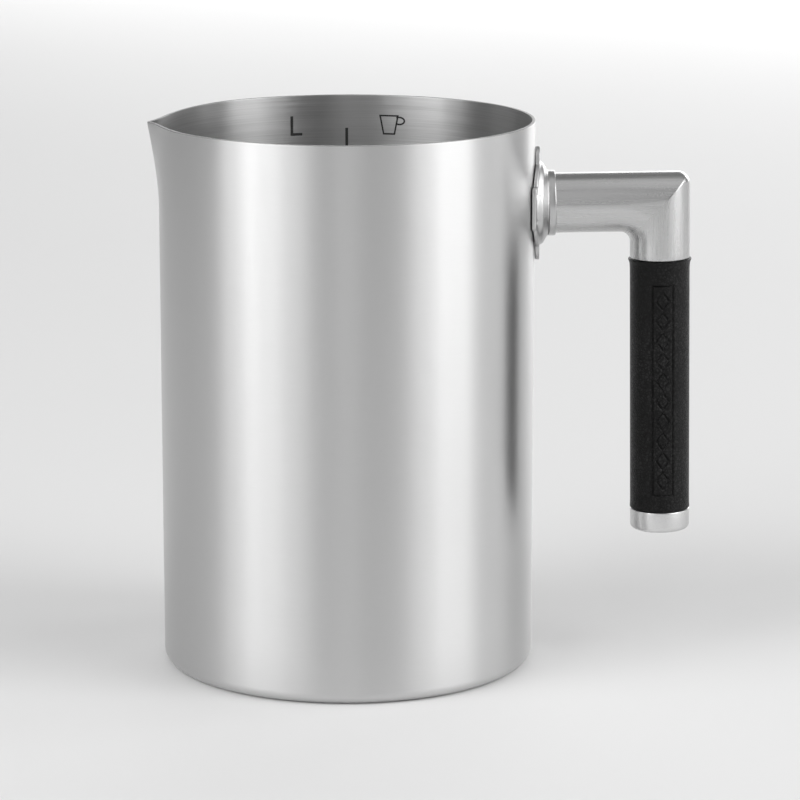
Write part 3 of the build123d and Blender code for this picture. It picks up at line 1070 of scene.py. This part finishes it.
def etched_line(path, width, closed=False):
    """Ribbon of even width along (around, height) points, wrapped onto the wall."""
    fine = []
    pairs = list(zip(path, path[1:] + path[:1])) if closed else list(zip(path, path[1:]))
    for start, end in pairs:
        start, end = Vector(start), Vector(end)
        pieces = max(1, int((end - start).length / (1.0 * MM)))
        fine += [start.lerp(end, step / pieces) for step in range(pieces)]
    if not closed:
        fine.append(Vector(path[-1]))
    rings = []
    last = len(fine) - 1
    for index, here in enumerate(fine):
        before = fine[index - 1] if closed or index else here
        after = fine[(index + 1) % len(fine)] if closed or index < last else here
        ahead = (after - here).normalized() if index < last or closed else Vector((0, 0))
        behind = (here - before).normalized() if index or closed else Vector((0, 0))
        heading = (ahead + behind).normalized()
        stretch = 1 / max(0.5, heading.dot(ahead if ahead.length else behind))
        side = Vector((-heading.y, heading.x)) * (width / 2 * stretch)
        left, right = here + side, here - side
        rings.append([
            on_inner_wall(left.x, left.y, etch_stand), on_inner_wall(right.x, right.y, etch_stand),
            on_inner_wall(right.x, right.y, -etch_stand), on_inner_wall(left.x, left.y, -etch_stand),
        ])
    poles = (None, None)
    if not closed:
        poles = tuple(on_inner_wall(end.x, end.y, 0.0) for end in (fine[0], fine[-1]))
    return skin("etched_line", rings, loop=closed, poles=poles, sharp=radians(30))


def etched_figures(text, middle, foot, height):
    """Figures of this height, wrapped onto the wall around their middle."""
    letters = bpy.data.curves.new("figures", "FONT")
    letters.body = text
    letters.align_x = "CENTER"
    letters.size = height / capital_share
    letters.extrude = etch_stand
    letters.resolution_u = 4
    holder = bpy.data.objects.new("figures", letters)
    mesh = bpy.data.meshes.new_from_object(holder)
    bpy.data.objects.remove(holder)
    for vertex in mesh.vertices:
        across, up, out = vertex.co
        vertex.co = on_inner_wall(middle + across, foot + up, out)
    work = bmesh.new()
    work.from_mesh(mesh)
    bmesh.ops.remove_doubles(work, verts=work.verts, dist=0.001 * MM)
    bmesh.ops.recalc_face_normals(work, faces=work.faces)
    work.to_mesh(mesh)
    work.free()
    return mesh


def cup_sign(middle, foot):
    """Small cup with a ring handle."""
    top_half, foot_half = 2.8 * MM, 1.7 * MM
    top = foot + unit_height
    body = [
        (middle - top_half, top),
        (middle + top_half, top),
        (middle + foot_half, foot),
        (middle - foot_half, foot),
    ]
    loop_across, loop_up = 1.65 * MM, 1.1 * MM
    loop_middle = (middle + 3.25 * MM, top - 1.5 * MM)
    handle = []
    for step in range(11):
        turn = radians(125 - 250 * step / 10)
        handle.append((loop_middle[0] + loop_across * cos(turn), loop_middle[1] + loop_up * sin(turn)))
    return [etched_line(body, fine_stroke, closed=True), etched_line(handle, fine_stroke)]


def scale_mesh():
    """Upright line, a tick at each quarter litre, litres to the left and cups to the right."""
    left, right = -unit_centre, unit_centre - cup_shift
    letter = [
        (left - letter_half_width, unit_foot + unit_height),
        (left - letter_half_width, unit_foot),
        (left + letter_half_width, unit_foot),
    ]
    parts = [
        etched_line([(0.0, line_top), (0.0, line_foot)], main_stroke),
        etched_line(letter, main_stroke),
    ]
    parts += cup_sign(right, unit_foot)
    for quarters in range(1, 6):
        litres = quarters / 4
        height = vessel_wall + litres * litre_rise
        parts.append(etched_line([(-tick_length, height), (tick_length, height)], fine_stroke))
        foot = height - figure_height / 2
        parts.append(etched_figures(f"{litres:g}", left, foot, figure_height))
        parts.append(etched_figures(f"{2 * quarters}", right, foot, figure_height))
    return joined("etched_scale", parts)


place(scale_mesh(), [etched_oxide])

# ------------------------ hidden CAD pieces keep their own meshes

carried_over = {
    "arm_spigot": (turned_steel, "inner_steel"),
    "elbow_insert": (turned_steel, "inner_steel"),
    "grip_core": (turned_steel, "inner_steel"),
    "spring_washer": (screw_steel, "screw_steel"),
    "tie_screw": (screw_steel, "screw_steel"),
}
for node, (finish, slot) in carried_over.items():
    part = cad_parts[node]
    part.data.materials.clear()
    part.data.materials.append(finish)

# ------------------------ floor, light and camera


def soft_box(name, azimuth, distance, height, width, tall, power):
    """Soft box at an azimuth from the camera's side, aimed at the middle of the pitcher."""
    lamp = bpy.data.lights.new(name, "AREA")
    lamp.shape = "RECTANGLE"
    lamp.size, lamp.size_y = width, tall
    lamp.energy = power
    box = bpy.data.objects.new(name, lamp)
    turn = radians(azimuth)
    box.location = (distance * sin(turn), -distance * cos(turn), height)
    aim = Vector((0, 0, vessel_height / 2)) - box.location
    box.rotation_euler = aim.to_track_quat("-Z", "Y").to_euler()
    box.visible_camera = False
    bpy.context.scene.collection.objects.link(box)
    return box


def build_floor():
    """Wide pale sheet under the pitcher."""
    work = bmesh.new()
    bmesh.ops.create_grid(work, x_segments=8, y_segments=8, size=6.0)
    mesh = bpy.data.meshes.new("floor")
    work.to_mesh(mesh)
    work.free()
    floor = bpy.data.objects.new("floor", mesh)
    bpy.context.scene.collection.objects.link(floor)
    finish, shader, wire = new_finish("pale_floor", Roughness=0.7)
    tone(wire, wire.noise(wire.spot(), scale=3.0), dark=0.76, light=0.78, shader=shader)
    mesh.materials.append(finish)


# Tall soft boxes stand in a ring and fade from one to the next: azimuth from the camera's side, and
# brightness. From -75 to 105 the brightness is what a least-squares fit of the bands of light on the wall
# gave, about 3 % lower. The others were set one by one.
box_ring = (
    (-165, 0.50), (-75, 0.70), (-60, 1.28), (-45, 0.88), (-30, 0.46), (0, 0.19),
    (45, 0.53), (60, 1.14), (75, 1.28), (90, 0.19), (105, 0.53), (150, 1.15), (165, 1.00), (180, 0.80),
)
box_distance = 2.4
box_watts = 15.5
box_width = 2 * box_distance * tan(radians(7.5))
box_tall, low_box_tall = 2.8, 1.1
low_box_start = 140  # boxes behind the pitcher are low
box_sink = 0.05  # of their lower edge under the floor

build_floor()
for azimuth, brightness in box_ring:
    tall = box_tall if abs(azimuth) < low_box_start else low_box_tall
    power = box_watts * brightness * tall / box_tall
    soft_box(f"box_{azimuth}", azimuth, box_distance, tall / 2 - box_sink, box_width, tall, power)
soft_box("box_overhead", azimuth=0, distance=0.3, height=2.4, width=2.0, tall=2.0, power=5.0)

world = bpy.data.worlds.new("studio_air")
world.use_nodes = True
background = world.node_tree.nodes["Background"]
background.inputs["Color"].default_value = (1, 1, 1, 1)
background.inputs["Strength"].default_value = 0.25
bpy.context.scene.world = world
bpy.context.scene.view_settings.view_transform = "Standard"

camera_distance = 1.0612
camera_height = 0.30774
camera_pitch = 0.21342  # radians down
camera_pan = 0.01466  # radians towards the handle
sensor = 36.0  # mm
lens = 164.77  # mm

camera = bpy.data.objects.new("camera", bpy.data.cameras.new("camera"))
camera.data.sensor_width = sensor
camera.data.lens = lens
camera.location = (0, -camera_distance, camera_height)
camera.rotation_euler = (pi / 2 - camera_pitch, 0, -camera_pan)
bpy.context.scene.collection.objects.link(camera)
bpy.context.scene.camera = camera
